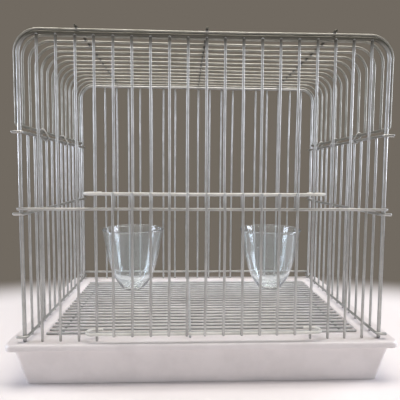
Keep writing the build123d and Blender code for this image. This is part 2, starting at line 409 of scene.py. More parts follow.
@dataclass(frozen=True)
class CupFinish:
    """Clear polystyrene, injection moulded: glassy, with faint upright flow marks.

    Attributes:
        name: Name of the material.
        tint: Colour of the plastic.
        ior: Index of refraction.
        transmission: Share of light that it lets through.
        flow: Width of a flow mark.
        flow_stretch: Pace of the marks up the wall against their pace round it.
        roughness: Roughness of the clearest and of the cloudiest plastic.
        gloss_span: Strength of the marks, from smoothest to roughest.
        relief: Depth of the marks.
        relief_strength: Strength of the marks.
    """

    name: str = "clear_moulded_polystyrene"
    tint: str = "#F1F5F6"
    ior: float = 1.49
    transmission: float = 0.97
    flow: float = 9 * MM
    flow_stretch: float = 0.35
    roughness: tuple[float, float] = (0.01, 0.04)
    gloss_span: tuple[float, float] = (0.35, 0.7)
    relief: float = 0.06 * MM
    relief_strength: float = 0.3

    def build(self) -> bpy.types.Material:
        """Build the material.

        Returns:
            The material.
        """
        material = bpy.data.materials.new(self.name)
        material.use_nodes = True
        tree = material.node_tree
        shader = tree.nodes["Principled BSDF"]
        shader.inputs["Base Color"].default_value = linear(self.tint)
        shader.inputs["IOR"].default_value = self.ior
        shader.inputs["Transmission Weight"].default_value = self.transmission
        place = add_node(tree, "ShaderNodeTexCoord").outputs["Object"]
        tall = add_node(
            tree, "ShaderNodeMapping", {"Vector": place, "Scale": (1.0, 1.0, self.flow_stretch)}
        )
        marks = add_node(
            tree, "ShaderNodeTexNoise",
            {"Vector": tall.outputs["Vector"], "Scale": grain(self.flow), "Detail": 2.0},
        )
        rough = add_node(
            tree, "ShaderNodeMapRange",
            {"Value": marks.outputs["Fac"], "From Min": self.gloss_span[0],
             "From Max": self.gloss_span[1], "To Min": self.roughness[0], "To Max": self.roughness[1]},
        )
        tree.links.new(rough.outputs["Result"], shader.inputs["Roughness"])
        bump = add_node(
            tree, "ShaderNodeBump",
            {"Height": marks.outputs["Fac"], "Distance": self.relief, "Strength": self.relief_strength},
        )
        tree.links.new(bump.outputs["Normal"], shader.inputs["Normal"])
        return material


@dataclass(frozen=True)
class Strand:
    """Centreline of one wire.

    Attributes:
        points: Places along the wire.
    """

    points: tuple[Vector, ...]

    def divided(self, step: float) -> Strand:
        """Strand with points added to its long runs.

        Args:
            step: Longest run that is left whole.

        Returns:
            The divided strand.
        """
        made = [self.points[0]]
        for start, end in zip(self.points, self.points[1:]):
            count = max(1, math.ceil((end - start).length / step))
            made += [start.lerp(end, i / count) for i in range(1, count + 1)]
        return Strand(tuple(made))

    def snipped(self, radius: float) -> tuple[list[Vector], list[float]]:
        """Pinch both ends of the wire as a cutter leaves them.

        Args:
            radius: Wire radius.

        Returns:
            Path with extra points at its ends, and the share of the radius at each point.
        """
        head = (self.points[1] - self.points[0]).normalized() * radius
        tail = (self.points[-2] - self.points[-1]).normalized() * radius
        start = [self.points[0] + head * run for run, _ in SNIPPED_END]
        stop = [self.points[-1] + tail * run for run, _ in reversed(SNIPPED_END)]
        shares = [share for _, share in SNIPPED_END]
        middle = list(self.points[1:-1])
        return start + middle + stop, shares + [1.0] * len(middle) + shares[::-1]


def bent_strand(corners: Sequence[Vector], bends: Sequence[float], steps: int) -> Strand:
    """Bend a wire along a path of square corners.

    Args:
        corners: Ends and corners of the path.
        bends: Bend radius at each inner corner.
        steps: Points on each bend.

    Returns:
        The bent strand.
    """
    points = [corners[0]]
    for before, spot, after, bend in zip(corners, corners[1:], corners[2:], bends):
        back = (before - spot).normalized() * bend
        onward = (after - spot).normalized() * bend
        for step in range(steps + 1):
            angle = math.pi / 2 * step / steps
            points.append(spot + back * (1 - math.sin(angle)) + onward * (1 - math.cos(angle)))
    points.append(corners[-1])
    return Strand(tuple(points))


def node_row(node: str, count: int, along: Axis, across: Axis, radius: float) -> list[Strand]:
    """Lay out the straight parallel wires of a node in its box.

    Args:
        node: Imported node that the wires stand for.
        count: Wires in the row.
        along: Direction of the wires.
        across: Direction in which they are spaced.
        radius: Wire radius.

    Returns:
        One strand for each wire.
    """
    low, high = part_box(node)
    strands = []
    for i in range(count):
        start = (low + high) / 2
        share = i / (count - 1) if count > 1 else 0.5
        first = low[across.value] + radius
        last = high[across.value] - radius
        start[across.value] = first + (last - first) * share
        end = start.copy()
        start[along.value] = low[along.value]
        end[along.value] = high[along.value]
        strands.append(Strand((start, end)))
    return strands


def new_tree(name: str, inputs: Iterable[tuple[str, str]]) -> bpy.types.NodeTree:
    """Start a Geometry Nodes tree.

    Args:
        name: Name of the tree.
        inputs: Name and socket type of each input after the geometry.

    Returns:
        The tree, with its sockets.
    """
    tree = bpy.data.node_groups.new(name, "GeometryNodeTree")
    tree.is_modifier = True
    tree.interface.new_socket("Geometry", in_out="INPUT", socket_type="NodeSocketGeometry")
    for label, kind in inputs:
        tree.interface.new_socket(label, in_out="INPUT", socket_type=kind)
    tree.interface.new_socket("Geometry", in_out="OUTPUT", socket_type="NodeSocketGeometry")
    return tree


def run_tree(
    tree: bpy.types.NodeTree, mesh: bpy.types.Mesh, values: dict[str, Any]
) -> bpy.types.Mesh:
    """Run a Geometry Nodes tree on a mesh and keep the result as a plain mesh.

    Args:
        tree: Tree to run.
        mesh: Geometry that the tree starts from.
        values: Value of each named input.

    Returns:
        The mesh that the tree made.
    """
    host = bpy.data.objects.new(tree.name, mesh)
    bpy.context.scene.collection.objects.link(host)
    modifier = host.modifiers.new(tree.name, "NODES")
    modifier.node_group = tree
    for item in tree.interface.items_tree:
        if item.in_out == "INPUT" and item.name in values:
            modifier[item.identifier] = values[item.name]
    graph = bpy.context.evaluated_depsgraph_get()
    made = bpy.data.meshes.new_from_object(host.evaluated_get(graph), depsgraph=graph)
    host.modifiers.remove(modifier)
    bpy.data.objects.remove(host)
    return made


def sway(tree: bpy.types.NodeTree, entry: bpy.types.Node) -> bpy.types.NodeSocket:
    """Add the nodes that give points the small unevenness of hand-welded panels.

    The shift depends on the place alone, so wires that touch move together. Along an axis it
    changes from wire to wire, and across it only slowly, so that each wire stays nearly straight.
    It leaves the height of the feet alone.

    Args:
        tree: Tree that gets the nodes.
        entry: Its group input, with inputs Sway, Foot and Seed.

    Returns:
        Socket with the shift of each point.
    """
    place = add_node(tree, "GeometryNodeInputPosition").outputs["Position"]
    parts = []
    for axis in Axis:
        pace = [1 / SWAY_RUN] * 3
        pace[axis.value] = 1 / SWAY_STEP
        eased = add_node(tree, "ShaderNodeVectorMath", {0: place, 1: pace}, operation="MULTIPLY")
        noise = add_node(
            tree, "ShaderNodeTexNoise",
            {"Vector": eased.outputs["Vector"], "W": entry.outputs["Seed"], "Scale": 1.0, "Detail": 1.0},
            noise_dimensions="4D",
        )
        centred = add_node(
            tree, "ShaderNodeMath", {0: noise.outputs["Fac"], 1: 0.5}, operation="SUBTRACT"
        )
        parts.append(centred.outputs["Value"])
    height = add_node(tree, "ShaderNodeSeparateXYZ", {"Vector": place})
    above = add_node(
        tree, "ShaderNodeMath", {0: height.outputs["Z"], 1: entry.outputs["Foot"]},
        operation="SUBTRACT",
    )
    free = add_node(
        tree, "ShaderNodeMapRange",
        {"Value": above.outputs["Value"], "From Min": 0.0, "From Max": SWAY_FREE},
    )
    rise = add_node(
        tree, "ShaderNodeMath", {0: parts[2], 1: free.outputs["Result"]}, operation="MULTIPLY"
    )
    lean = add_node(
        tree, "ShaderNodeCombineXYZ", {"X": parts[0], "Y": parts[1], "Z": rise.outputs["Value"]}
    )
    shift = add_node(
        tree, "ShaderNodeVectorMath",
        {"Vector": lean.outputs["Vector"], "Scale": entry.outputs["Sway"]}, operation="SCALE",
    )
    return shift.outputs["Vector"]


SWAY_INPUTS = (
    ("Sway", "NodeSocketFloat"),
    ("Foot", "NodeSocketFloat"),
    ("Seed", "NodeSocketFloat"),
)


def wire_tree() -> bpy.types.NodeTree:
    """Build the tree that draws round wire along the edges of a mesh.

    Returns:
        The tree.
    """
    tree = new_tree(
        "drawn_wire",
        (("Radius", "NodeSocketFloat"), ("Sides", "NodeSocketInt"),
         ("Finish", "NodeSocketMaterial"), *SWAY_INPUTS),
    )
    entry = add_node(tree, "NodeGroupInput")
    shifted = add_node(
        tree, "GeometryNodeSetPosition",
        {"Geometry": entry.outputs["Geometry"], "Offset": sway(tree, entry)},
    )
    curve = add_node(tree, "GeometryNodeMeshToCurve", {"Mesh": shifted.outputs["Geometry"]})
    span = add_node(tree, "GeometryNodeSplineParameter")
    rail = add_node(tree, "GeometryNodeCaptureAttribute", {"Geometry": curve.outputs["Curve"]})
    rail.capture_items.new("FLOAT", "Along")
    tree.links.new(span.outputs["Length"], rail.inputs["Along"])
    ring = add_node(
        tree, "GeometryNodeCurvePrimitiveCircle",
        {"Resolution": entry.outputs["Sides"], "Radius": entry.outputs["Radius"]},
    )
    section = add_node(tree, "GeometryNodeCaptureAttribute", {"Geometry": ring.outputs["Curve"]})
    section.capture_items.new("VECTOR", "Round")
    spot = add_node(tree, "GeometryNodeInputPosition")
    tree.links.new(spot.outputs["Position"], section.inputs["Round"])
    taper = add_node(tree, "GeometryNodeInputNamedAttribute", {"Name": "taper"}, data_type="FLOAT")
    tube = add_node(
        tree, "GeometryNodeCurveToMesh",
        {"Curve": rail.outputs["Geometry"], "Profile Curve": section.outputs["Geometry"],
         "Scale": taper.outputs["Attribute"], "Fill Caps": True},
    )
    lift = add_node(tree, "ShaderNodeCombineXYZ", {"Z": rail.outputs["Along"]})
    drawn = add_node(
        tree, "ShaderNodeVectorMath",
        {0: section.outputs["Round"], 1: lift.outputs["Vector"]}, operation="ADD",
    )
    stored = add_node(
        tree, "GeometryNodeStoreNamedAttribute",
        {"Geometry": tube.outputs["Mesh"], "Name": "drawn", "Value": drawn.outputs["Vector"]},
        data_type="FLOAT_VECTOR", domain="POINT",
    )
    smooth = add_node(tree, "GeometryNodeSetShadeSmooth", {"Geometry": stored.outputs["Geometry"]})
    real = add_node(tree, "GeometryNodeRealizeInstances", {"Geometry": smooth.outputs["Geometry"]})
    dressed = add_node(
        tree, "GeometryNodeSetMaterial",
        {"Geometry": real.outputs["Geometry"], "Material": entry.outputs["Finish"]},
    )
    add_node(tree, "NodeGroupOutput", {"Geometry": dressed.outputs["Geometry"]})
    return tree


def weld_tree() -> bpy.types.NodeTree:
    """Build the tree that puts a small uneven nugget of weld on each point of a mesh.

    Returns:
        The tree.
    """
    tree = new_tree(
        "weld_nuggets",
        (("Radius", "NodeSocketFloat"), ("Finish", "NodeSocketMaterial"), *SWAY_INPUTS),
    )
    entry = add_node(tree, "NodeGroupInput")
    shifted = add_node(
        tree, "GeometryNodeSetPosition",
        {"Geometry": entry.outputs["Geometry"], "Offset": sway(tree, entry)},
    )
    nugget = add_node(
        tree, "GeometryNodeMeshIcoSphere", {"Radius": entry.outputs["Radius"], "Subdivisions": 2}
    )
    smooth = add_node(tree, "GeometryNodeSetShadeSmooth", {"Geometry": nugget.outputs["Mesh"]})
    turn = add_node(
        tree, "FunctionNodeRandomValue",
        {0: (0.0, 0.0, 0.0), 1: (math.tau, math.tau, math.tau), "Seed": TURN_SEED},
        data_type="FLOAT_VECTOR",
    )
    smallest, largest = NUGGET_SIZES
    size = add_node(
        tree, "FunctionNodeRandomValue",
        {0: (smallest, smallest, smallest), 1: (largest, largest, largest), "Seed": SIZE_SEED},
        data_type="FLOAT_VECTOR",
    )
    placed = add_node(
        tree, "GeometryNodeInstanceOnPoints",
        {"Points": shifted.outputs["Geometry"], "Instance": smooth.outputs["Geometry"],
         "Rotation": turn.outputs[0], "Scale": size.outputs[0]},
    )
    real = add_node(tree, "GeometryNodeRealizeInstances", {"Geometry": placed.outputs["Instances"]})
    dressed = add_node(
        tree, "GeometryNodeSetMaterial",
        {"Geometry": real.outputs["Geometry"], "Material": entry.outputs["Finish"]},
    )
    add_node(tree, "NodeGroupOutput", {"Geometry": dressed.outputs["Geometry"]})
    return tree


@dataclass
class Workshop:
    """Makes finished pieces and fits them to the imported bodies.

    Attributes:
        zinc: Finish of the wires.
        weld_zinc: Duller finish of the welds.
        foot: Height of the flange that the wires stand on.
        step: Longest straight run between two points of a wire.
        sides: Flats round a wire, which shading hides.
        sway_size: Full spread of the unevenness of the panels.
        seed: Which unevenness of all the possible ones.
        wires: Tree that draws wires.
        welds: Tree that sets welds.
    """

    zinc: bpy.types.Material
    weld_zinc: bpy.types.Material
    foot: float
    step: float = 9 * MM
    sides: int = 14
    sway_size: float = 1.8 * MM
    seed: float = 4.0
    wires: bpy.types.NodeTree = field(default_factory=wire_tree)
    welds: bpy.types.NodeTree = field(default_factory=weld_tree)

    def plated(self, finish: ZincFinish) -> Workshop:
        """Same workshop with another finish for its wires."""
        return replace(self, zinc=finish.build())

    def fit(
        self, name: str, mesh: bpy.types.Mesh, body: Body, nodes: Sequence[str] = ()
    ) -> bpy.types.Object:
        """Put a finished mesh in the scene.

        Args:
            name: Name of the piece.
            mesh: Its mesh, in place.
            body: Body that it rides on.
            nodes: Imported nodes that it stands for.

        Returns:
            The piece.
        """
        mesh.name = name
        piece = bpy.data.objects.new(name, mesh)
        bpy.context.scene.collection.objects.link(piece)
        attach(piece, body.value)
        if nodes:
            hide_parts(*nodes)
        LOG.info("%s rides on %s, %d faces", name, body.value, len(mesh.polygons))
        return piece

    def _strand_mesh(self, strands: Sequence[Strand], radius: float) -> bpy.types.Mesh:
        """Turn strands into edges, with tapered points at each snipped end.

        Args:
            strands: Centrelines.
            radius: Wire radius.

        Returns:
            Mesh of edges with the attribute taper.
        """
        places: list[Vector] = []
        tapers: list[float] = []
        edges: list[tuple[int, int]] = []
        for strand in strands:
            points, shares = strand.divided(self.step).snipped(radius)
            first = len(places)
            places += points
            tapers += shares
            edges += [(i, i + 1) for i in range(first, len(places) - 1)]
        mesh = bpy.data.meshes.new("strands")
        mesh.from_pydata(places, edges, [])
        taper = mesh.attributes.new("taper", "FLOAT", "POINT")
        taper.data.foreach_set("value", tapers)
        return mesh

    def _sway_values(self) -> dict[str, float]:
        """Values of the tree inputs that set the unevenness."""
        return {"Sway": self.sway_size, "Foot": self.foot, "Seed": self.seed}

    def wire(
        self, node: str, body: Body, strands: Sequence[Strand], radius: float
    ) -> bpy.types.Object:
        """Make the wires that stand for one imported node.

        Args:
            node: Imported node.
            body: Body that the wires ride on.
            strands: Their centrelines.
            radius: Wire radius.

        Returns:
            The piece.
        """
        values = {"Radius": radius, "Sides": self.sides, "Finish": self.zinc, **self._sway_values()}
        mesh = run_tree(self.wires, self._strand_mesh(strands, radius), values)
        return self.fit(f"{node}_wire", mesh, body, [node])

    def weld(
        self, name: str, body: Body, spots: Sequence[Vector], radius: float
    ) -> bpy.types.Object:
        """Make the weld nuggets of one panel.

        Args:
            name: Name of the piece.
            body: Body that the welds ride on.
            spots: Places where wires cross.
            radius: Size of a nugget.

        Returns:
            The piece.
        """
        points = bpy.data.meshes.new(name)
        points.from_pydata(list(spots), [], [])
        values = {"Radius": radius, "Finish": self.weld_zinc, **self._sway_values()}
        mesh = run_tree(self.welds, points, values)
        return self.fit(name, mesh, body)


def arch(low: Vector, high: Vector, y: float, radius: float, bend: float) -> Strand:
    """Upright wire arch that fills a box across the cage.

    Args:
        low: Lowest corner of the box.
        high: Highest corner of the box.
        y: Plane of the arch.
        radius: Wire radius.
        bend: Bend radius of its two corners.

    Returns:
        The strand.
    """
    left, right, top = low.x + radius, high.x - radius, high.z - radius
    corners = [
        Vector((left, y, low.z)),
        Vector((left, y, top)),
        Vector((right, y, top)),
        Vector((right, y, low.z)),
    ]
    return bent_strand(corners, [bend] * 2, WIDE_STEPS)


@dataclass
class Gauge:
    """Wire radii and the main bend of the cage.

    Attributes:
        frame: Radius of the two panel frames.
        rail: Radius of rails that carry other wires.
        wire: Radius of uprights and hoops.
        grille: Radius of the floor grille's wires.
        frame_bend: Bend radius of the panel frames.
    """

    frame: float = 1.6 * MM
    rail: float = 1.25 * MM
    wire: float = 1.1 * MM
    grille: float = 1.0 * MM
    frame_bend: float = 16.0 * MM


@dataclass
class FlatPanel:
    """Front or back panel: a bent frame with rails and uprights.

    Attributes:
        frame: Node of the bent frame.
        rails: Nodes of the rails across it.
        uprights: Node and wire count of each row of uprights.
        gauge: Wire sizes.
        weld: Radius of a weld.
    """

    frame: str
    rails: tuple[str, ...]
    uprights: tuple[tuple[str, int], ...]
    gauge: Gauge
    weld: float = 1.25 * MM

    def build(self, shop: Workshop) -> None:
        """Make the panel's wires and welds.

        Args:
            shop: Workshop that makes them.
        """
        low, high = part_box(self.frame)
        bent = arch(low, high, (low.y + high.y) / 2, self.gauge.frame, self.gauge.frame_bend)
        shop.wire(self.frame, Body.CAGE, [bent], self.gauge.frame)
        for rail in self.rails:
            strands = node_row(rail, 1, Axis.X, Axis.Y, self.gauge.rail)
            shop.wire(rail, Body.CAGE, strands, self.gauge.rail)
        spots: list[Vector] = []
        for node, count in self.uprights:
            strands = node_row(node, count, Axis.Z, Axis.X, self.gauge.wire)
            shop.wire(node, Body.CAGE, strands, self.gauge.wire)
            spots += self.weld_spots(strands)
        shop.weld(f"{self.frame}_welds", Body.CAGE, spots, self.weld)

    def weld_spots(self, strands: Sequence[Strand]) -> list[Vector]:
        """Places where uprights cross the rails and meet the top of the frame.

        Args:
            strands: Uprights.

        Returns:
            One point for each weld.
        """
        spots = []
        for strand in strands:
            foot, top = strand.points
            spots.append(top.copy())
            for rail in self.rails:
                low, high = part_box(rail)
                middle = (low + high) / 2
                if foot.z <= middle.z <= top.z:
                    spots.append(Vector((top.x, (top.y + middle.y) / 2, middle.z)))
        return spots


@dataclass
class SidePanel:
    """Side panel: three rails hooked round the posts, uprights, and rings up to the roof.

    Attributes:
        side: Left or right.
        gauge: Wire sizes.
        upright_count: Uprights.
        pitch: Spacing of the uprights.
        ring_gaps: Place of each belt ring, in gaps from the front.
        ring_wire: Radius of the ring wire.
        ring_overlap: Share of a turn that a ring's ends lie side by side.
        ring_steps: Steps round half a ring.
        weld: Radius of a weld.
    """

    side: Side
    gauge: Gauge
    upright_count: int = 12
    pitch: float = 15.0 * MM
    ring_gaps: tuple[float, ...] = (3.5, 7.5, 10.5)
    ring_wire: float = 0.85 * MM
    ring_overlap: float = 0.22
    ring_steps: int = 18
    weld: float = 1.2 * MM

    def build(self, shop: Workshop) -> None:
        """Make the panel's wires, rings and welds.

        Args:
            shop: Workshop that makes them.
        """
        word = self.side.word
        uprights = node_row(f"{word}_uprights", self.upright_count, Axis.Z, Axis.Y, self.gauge.wire)
        shop.wire(f"{word}_uprights", Body.CAGE, uprights, self.gauge.wire)
        feet = [upright.points[0] for upright in uprights]
        spots: list[Vector] = []
        for level in ("top", "mid", "bottom"):
            node = f"{word}_{level}_rail"
            shop.wire(node, Body.CAGE, [self.hooked_rail(node)], self.gauge.rail)
            rail_x, height = self.rail_place(node)
            spots += [Vector(((foot.x + rail_x) / 2, foot.y, height)) for foot in feet]
        shop.weld(f"{word}_panel_welds", Body.CAGE, spots, self.weld)
        rings = [self.ring(gap) for gap in self.ring_gaps]
        shop.wire(f"{word}_belt_rings", Body.CAGE, rings, self.ring_wire)

    def rail_place(self, node: str) -> tuple[float, float]:
        """Place of a hooked rail's long run.

        Args:
            node: Node of the rail.

        Returns:
            Its X and its height.
        """
        low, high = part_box(node)
        inner = high.x if self.side is Side.LEFT else low.x
        return inner + self.side.value * self.gauge.rail, (low.z + high.z) / 2

    def hooked_rail(self, node: str) -> Strand:
        """Centreline of a rail with a hook round each post.

        Args:
            node: Node of the rail.

        Returns:
            The strand.
        """
        low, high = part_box(node)
        rail_x, height = self.rail_place(node)
        tip_x = low.x if self.side is Side.LEFT else high.x
        front, back = low.y + self.gauge.rail, high.y - self.gauge.rail
        corners = [
            Vector((tip_x, front, height)),
            Vector((rail_x, front, height)),
            Vector((rail_x, back, height)),
            Vector((tip_x, back, height)),
        ]
        bend = self.gauge.frame + self.gauge.rail
        return bent_strand(corners, [bend] * 2, TIGHT_STEPS)

    def ring(self, gap: float) -> Strand:
        """Centreline of an open oval ring whose ends lie side by side.

        Args:
            gap: Place of the ring, in gaps from the front.

        Returns:
            The strand.
        """
        word = self.side.word
        low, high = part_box(f"{word}_roof_edge_rail")
        upper = (low + high) / 2
        lower_x, lower_z = self.rail_place(f"{word}_top_rail")
        front_low, front_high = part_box("front_frame")
        y = (front_low.y + front_high.y) / 2 + gap * self.pitch
        lean = math.atan2(upper.z - lower_z, upper.x - lower_x)
        reach = self.gauge.rail + self.ring_wire
        turns = ((Vector((upper.x, y, upper.z)), -90), (Vector((lower_x, y, lower_z)), 90))
        outline = []
        for centre, start in turns:
            for i in range(self.ring_steps + 1):
                angle = lean + math.radians(start + 180 * i / self.ring_steps)
                outline.append(centre + Vector((math.cos(angle), 0.0, math.sin(angle))) * reach)
        outline += outline[:round(len(outline) * self.ring_overlap)]
        shift = 2 * self.ring_wire * (1 + self.ring_overlap)
        last = len(outline) - 1
        points = [p + Vector((0.0, shift * (i / last - 0.5), 0.0)) for i, p in enumerate(outline)]
        return Strand(tuple(points))


@dataclass
class Roof:
    """Roof panel: hoops over the cage, tied by two edge rails and three long top wires.

    Attributes:
        gauge: Wire sizes.
        hoop_count: Hoops between the two end hoops.
        tail_bend: Bend radius of the end hoops' tails.
        long_wires: Nodes of the long wires on top.
        worn: Finish of the long wires, darkened as painted shade.
        weld: Radius of a weld.
    """

    gauge: Gauge
    hoop_count: int = 12
    tail_bend: float = 2.4 * MM
    long_wires: tuple[str, ...] = ("left_roof_rail", "centre_roof_rail", "right_roof_rail")
    worn: ZincFinish = SHADED_ROOF_RAIL_ZINC
    weld: float = 1.2 * MM

    def build(self, shop: Workshop) -> None:
        """Make the roof's wires and welds.

        Args:
            shop: Workshop that makes them.
        """
        radius, rail = self.gauge.wire, self.gauge.rail
        low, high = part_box("roof_hoops")
        bend = self.gauge.frame_bend + self.gauge.frame + radius
        spacing = (high.y - low.y - 2 * radius) / (self.hoop_count - 1)
        planes = [low.y + radius + i * spacing for i in range(self.hoop_count)]
        hoops = [arch(low, high, y, radius, bend) for y in planes]
        shop.wire("roof_hoops", Body.CAGE, hoops, radius)
        planes = [self.end_hoop(shop, "roof_front_hoop", 1, bend)] + planes
        planes.append(self.end_hoop(shop, "roof_back_hoop", -1, bend))
        spots: list[Vector] = []
        # The long wires get painted shade, as they lie in shade seen from below.
        top_shaded = shop.plated(self.worn)
        for node in self.long_wires:
            top_shaded.wire(node, Body.CAGE, node_row(node, 1, Axis.Y, Axis.X, radius), radius)
            wire_low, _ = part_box(node)
            spots += [Vector((wire_low.x + radius, y, wire_low.z)) for y in planes]
        for side in Side:
            node = f"{side.word}_roof_edge_rail"
            shop.wire(node, Body.CAGE, node_row(node, 1, Axis.Y, Axis.X, rail), rail)
            rail_low, rail_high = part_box(node)
            outer = rail_low.x if side is Side.LEFT else rail_high.x
            spots += [Vector((outer, y, (rail_low.z + rail_high.z) / 2)) for y in planes[1:-1]]
        shop.weld("roof_welds", Body.CAGE, spots, self.weld)

    def end_hoop(self, shop: Workshop, node: str, inward: int, bend: float) -> float:
        """Make a hoop whose ends bend along the edge rails.

        Args:
            shop: Workshop that makes the piece.
            node: Node of the hoop.
            inward: Sign along Y towards the middle of the cage.
            bend: Bend radius of its upper corners.

        Returns:
            Plane of the hoop along Y.
        """
        radius = self.gauge.wire
        low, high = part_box(node)
        y = low.y + radius if inward > 0 else high.y - radius
        tail = high.y if inward > 0 else low.y
        left, right, top, foot = low.x + radius, high.x - radius, high.z - radius, low.z + radius
        corners = [
            Vector((left, tail, foot)),
            Vector((left, y, foot)),
            Vector((left, y, top)),
            Vector((right, y, top)),
            Vector((right, y, foot)),
            Vector((right, tail, foot)),
        ]
        bends = [self.tail_bend, bend, bend, self.tail_bend]
        shop.wire(node, Body.CAGE, [bent_strand(corners, bends, WIDE_STEPS)], radius)
        return y


@dataclass
class Door:
    """Door that slides up the two guide wires on the loops of its rails.

    Attributes:
        gauge: Wire sizes.
        bar_count: Upright bars.
        tail: Straight end of a loop behind its guide.
        loop_fill: Share of half a loop that each of its bends takes up.
        chalky: Finish of the two rails, paler as painted light.
        weld: Radius of a weld.
    """

    gauge: Gauge
    bar_count: int = 11
    tail: float = 7.5 * MM
    loop_fill: float = 0.98
    chalky: ZincFinish = LIT_RAIL_ZINC
    weld: float = 1.3 * MM

    def build(self, shop: Workshop) -> None:
        """Make the door's wires and welds.

        Args:
            shop: Workshop that makes them.
        """
        bars = node_row("door_bars", self.bar_count, Axis.Z, Axis.X, self.gauge.wire)
        shop.wire("door_bars", Body.DOOR, bars, self.gauge.wire)
        spots: list[Vector] = []
        # The rails get paler plating as painted light.
        brightened = shop.plated(self.chalky)
        for node in ("door_top_rail", "door_bottom_rail"):
            brightened.wire(node, Body.DOOR, [self.looped_rail(node)], self.gauge.rail)
            low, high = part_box(node)
            height = (low.z + high.z) / 2
            spots += [Vector((bar.points[0].x, low.y, height)) for bar in bars]
        shop.weld("door_welds", Body.DOOR, spots, self.weld)

    def looped_rail(self, node: str) -> Strand:
        """Centreline of a rail with a loop round each guide.

        Args:
            node: Node of the rail.

        Returns:
            The strand.
        """
        low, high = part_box(node)
        radius = self.gauge.rail
        turn, height = high.x - radius, (low.z + high.z) / 2
        front, rear = low.y + radius, high.y - radius
        loop = (rear - front) / 2
        end = turn - loop - self.tail
        outline = [(-end, rear), (-turn, rear), (-turn, front)]
        outline += [(-x, y) for x, y in reversed(outline)]
        corners = [Vector((x, y, height)) for x, y in outline]
        return bent_strand(corners, [loop * self.loop_fill] * 4, TIGHT_STEPS)


@dataclass
class FloorGrille:
    """Loose floor grille: close cross wires on two long ones, under a third.

    Attributes:
        gauge: Wire sizes.
        cross_count: Cross wires.
        weld: Radius of a weld.
    """

    gauge: Gauge
    cross_count: int = 21
    weld: float = 1.05 * MM

    def build(self, shop: Workshop) -> None:
        """Make the grille's wires and welds.

        Args:
            shop: Workshop that makes them.
        """
        radius = self.gauge.grille
        cross = node_row("grille_cross_wires", self.cross_count, Axis.X, Axis.Y, radius)
        shop.wire("grille_cross_wires", Body.GRILLE, cross, radius)
        long_wires: list[Strand] = []
        for node, count in (("grille_centre_wire", 1), ("grille_side_wires", 2)):
            strands = node_row(node, count, Axis.Y, Axis.X, radius)
            shop.wire(node, Body.GRILLE, strands, radius)
            long_wires += strands
        spots = []
        for long_wire in long_wires:
            first, last = long_wire.points
            for strand in cross:
                y = strand.points[0].y
                if first.y <= y <= last.y:
                    spots.append(Vector((first.x, y, (first.z + strand.points[0].z) / 2)))
        shop.weld("grille_welds", Body.GRILLE, spots, self.weld)


@dataclass(frozen=True)
class Ring:
    """Rounded rectangle at one height of the tray's skin.

    Attributes:
        half_x: Half width.
        half_y: Half depth.
        corner: Corner radius.
        z: Height.
        soft: Length over which the skin turns here.
    """

    half_x: float
    half_y: float
    corner: float
    z: float
    soft: float = 0.0

    def grown(self, amount: float, z: float, soft: float) -> Ring:
        """Ring offset outwards by an amount, at another height.

        Args:
            amount: Offset, negative inwards.
            z: Height of the new ring.
            soft: Its softening.

        Returns:
            The new ring.
        """
        return Ring(self.half_x + amount, self.half_y + amount, self.corner + amount, z, soft)

    def towards(self, other: Ring, z: float, soft: float) -> Ring:
        """Ring at a height on the straight skin between two rings.

        Args:
            other: Ring at the other end of the skin.
            z: Height of the new ring.
            soft: Its softening.

        Returns:
            The new ring.
        """
        share = (z - self.z) / (other.z - self.z)
        half_x, half_y, corner, height = self.vector().lerp(other.vector(), share)
        return Ring(half_x, half_y, corner, height, soft)

    def vector(self) -> Vector:
        """Ring as a vector, so that rings can be mixed."""
        return Vector((self.half_x, self.half_y, self.corner, self.z))


def soften(points: Sequence[Vector], lengths: Sequence[float], steps: int = 5) -> list[Vector]:
    """Round the corners of a profile with short parabolas.

    Args:
        points: Profile, in any number of dimensions.
        lengths: Length of each leg that a corner's rounding takes up.
        steps: Points on each rounding.

    Returns:
        The rounded profile.
    """
    made = [points[0]]
    for before, spot, after, length in zip(points, points[1:], points[2:], lengths[1:]):
        if length <= 0:
            made.append(spot)
            continue
        start = spot.lerp(before, min(length / (before - spot).length, LEG_SHARE))
        end = spot.lerp(after, min(length / (after - spot).length, LEG_SHARE))
        for i in range(steps + 1):
            share = i / steps
            made.append(start.lerp(spot, share).lerp(spot.lerp(end, share), share))
    made.append(points[-1])
    return made


def closed_mesh(name: str, rings: Sequence[Sequence[Vector]]) -> bpy.types.Mesh:
    """Skin a row of point rings and close both ends.

    Args:
        name: Name of the mesh.
        rings: Rings with the same number of points each.

    Returns:
        Smooth closed mesh with outward normals.
    """
    form = bmesh.new()
    rows = [[form.verts.new(point) for point in ring] for ring in rings]
    for lower, upper in zip(rows, rows[1:]):
        for i, vert in enumerate(lower):
            j = (i + 1) % len(lower)
            form.faces.new((vert, lower[j], upper[j], upper[i]))
    form.faces.new(rows[0])
    form.faces.new(rows[-1])
    bmesh.ops.recalc_face_normals(form, faces=form.faces)
    for face in form.faces:
        face.smooth = True
    mesh = bpy.data.meshes.new(name)
    form.to_mesh(mesh)
    form.free()
    return mesh


def weigh_normals(mesh: bpy.types.Mesh) -> bpy.types.Mesh:
    """Keep large faces flat in the shading.

    Args:
        mesh: Smooth mesh.

    Returns:
        Copy with normals weighted by face area.
    """
    host = bpy.data.objects.new(mesh.name, mesh)
    bpy.context.scene.collection.objects.link(host)
    modifier = host.modifiers.new("weighted", "WEIGHTED_NORMAL")
    modifier.weight = FLAT_WEIGHT
    graph = bpy.context.evaluated_depsgraph_get()
    made = bpy.data.meshes.new_from_object(host.evaluated_get(graph), depsgraph=graph)
    bpy.data.objects.remove(host)
    return made


